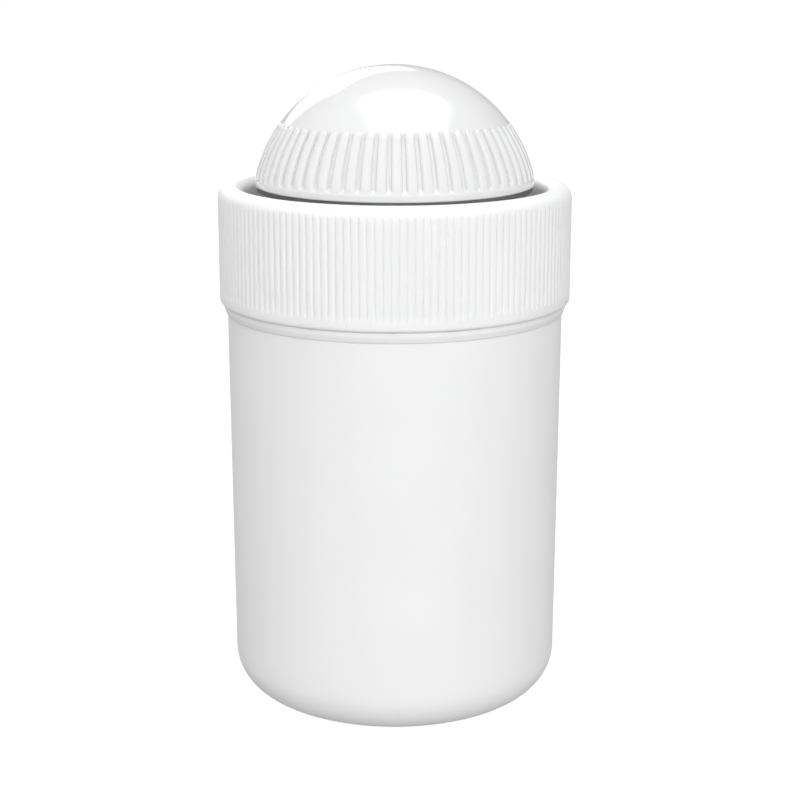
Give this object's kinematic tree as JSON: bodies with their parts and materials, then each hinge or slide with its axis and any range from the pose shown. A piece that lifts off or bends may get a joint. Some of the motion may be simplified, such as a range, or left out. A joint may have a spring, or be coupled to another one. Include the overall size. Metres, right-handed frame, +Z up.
{
  "type": "pill crusher",
  "caption": "Hand-twisted pill crusher: a domed ribbed knob drives a screw press in a ribbed screw-on lid, over a round jar with a rounded base.",
  "frame": {"origin": "centre of the jar's resting face, on the axis", "axes": "+Z up along the common axis of jar, collar and knob; +X and +Y across"},
  "size_m": [0.0574, 0.0574, 0.1047],
  "materials": {
    "jar_white": "satin moulded polypropylene",
    "collar_white": "satin moulded polypropylene",
    "dome_white": "polished moulded plastic",
    "inner_white": "satin moulded plastic",
    "seal_white": "soft silicone",
    "pad_dark": "dark soft silicone",
    "steel": "turned stainless steel",
    "brass": "turned brass"
  },
  "bodies": {
    "jar_body": {"jar": "jar_white", "shoulder_seal": "seal_white"},
    "lid_body": {"lid_core": "inner_white", "mouth_gasket": "seal_white", "press_nut": "brass", "nut_screws": "steel"},
    "collar_body": {"collar": "collar_white", "core_retainer": "steel"},
    "presser_body": {"press_foot": "inner_white", "foot_plate": "steel", "foot_plate_screws": "steel", "thrust_washer": "brass", "foot_ring": "seal_white"},
    "knob_body": {"dome_shell": "dome_white", "knob_base": "inner_white", "knob_pad": "pad_dark", "dome_screws": "steel", "knob_bolt": "steel", "knob_washer": "steel", "spindle": "steel", "retaining_washer": "steel", "foot_screw": "steel"},
    "seal_body": {"chamber_gasket": "seal_white"},
    "chamber_body": {"chamber": "inner_white", "chamber_plate": "steel", "plate_rivet": "steel"}
  },
  "joints": [
    {"name": "collar_turn", "type": "hinge", "parent": "lid_body", "child": "collar_body", "pos_m": [0, 0, 0.076], "axis": [0, 0, 1], "range_deg": [0, 1350]},
    {"name": "lid_lift", "type": "slide", "parent": "jar_body", "child": "lid_body", "axis": [0, 0, 1], "range_m": [0, 0.045]},
    {"name": "knob_turn", "type": "hinge", "parent": "presser_body", "child": "knob_body", "pos_m": [0, 0, 0.07], "axis": [0, 0, 1], "range_deg": [-480, 240]},
    {"name": "press_travel", "type": "slide", "parent": "lid_body", "child": "presser_body", "axis": [0, 0, 1], "range_m": [-0.008, 0.004]},
    {"name": "chamber_turn", "type": "hinge", "parent": "seal_body", "child": "chamber_body", "pos_m": [0, 0, 0.06], "axis": [0, 0, 1], "range_deg": [-675, 0]},
    {"name": "chamber_travel", "type": "slide", "parent": "lid_body", "child": "seal_body", "axis": [0, 0, 1], "range_m": [-0.015, 0]}
  ],
  "couplings": [
    {"joint": "lid_lift", "follows": "collar_turn", "m_per_rad": 0.0019099},
    {"joint": "press_travel", "follows": "knob_turn", "m_per_rad": 0.00095492},
    {"joint": "chamber_travel", "follows": "chamber_turn", "m_per_rad": 0.0012732}
  ]
}
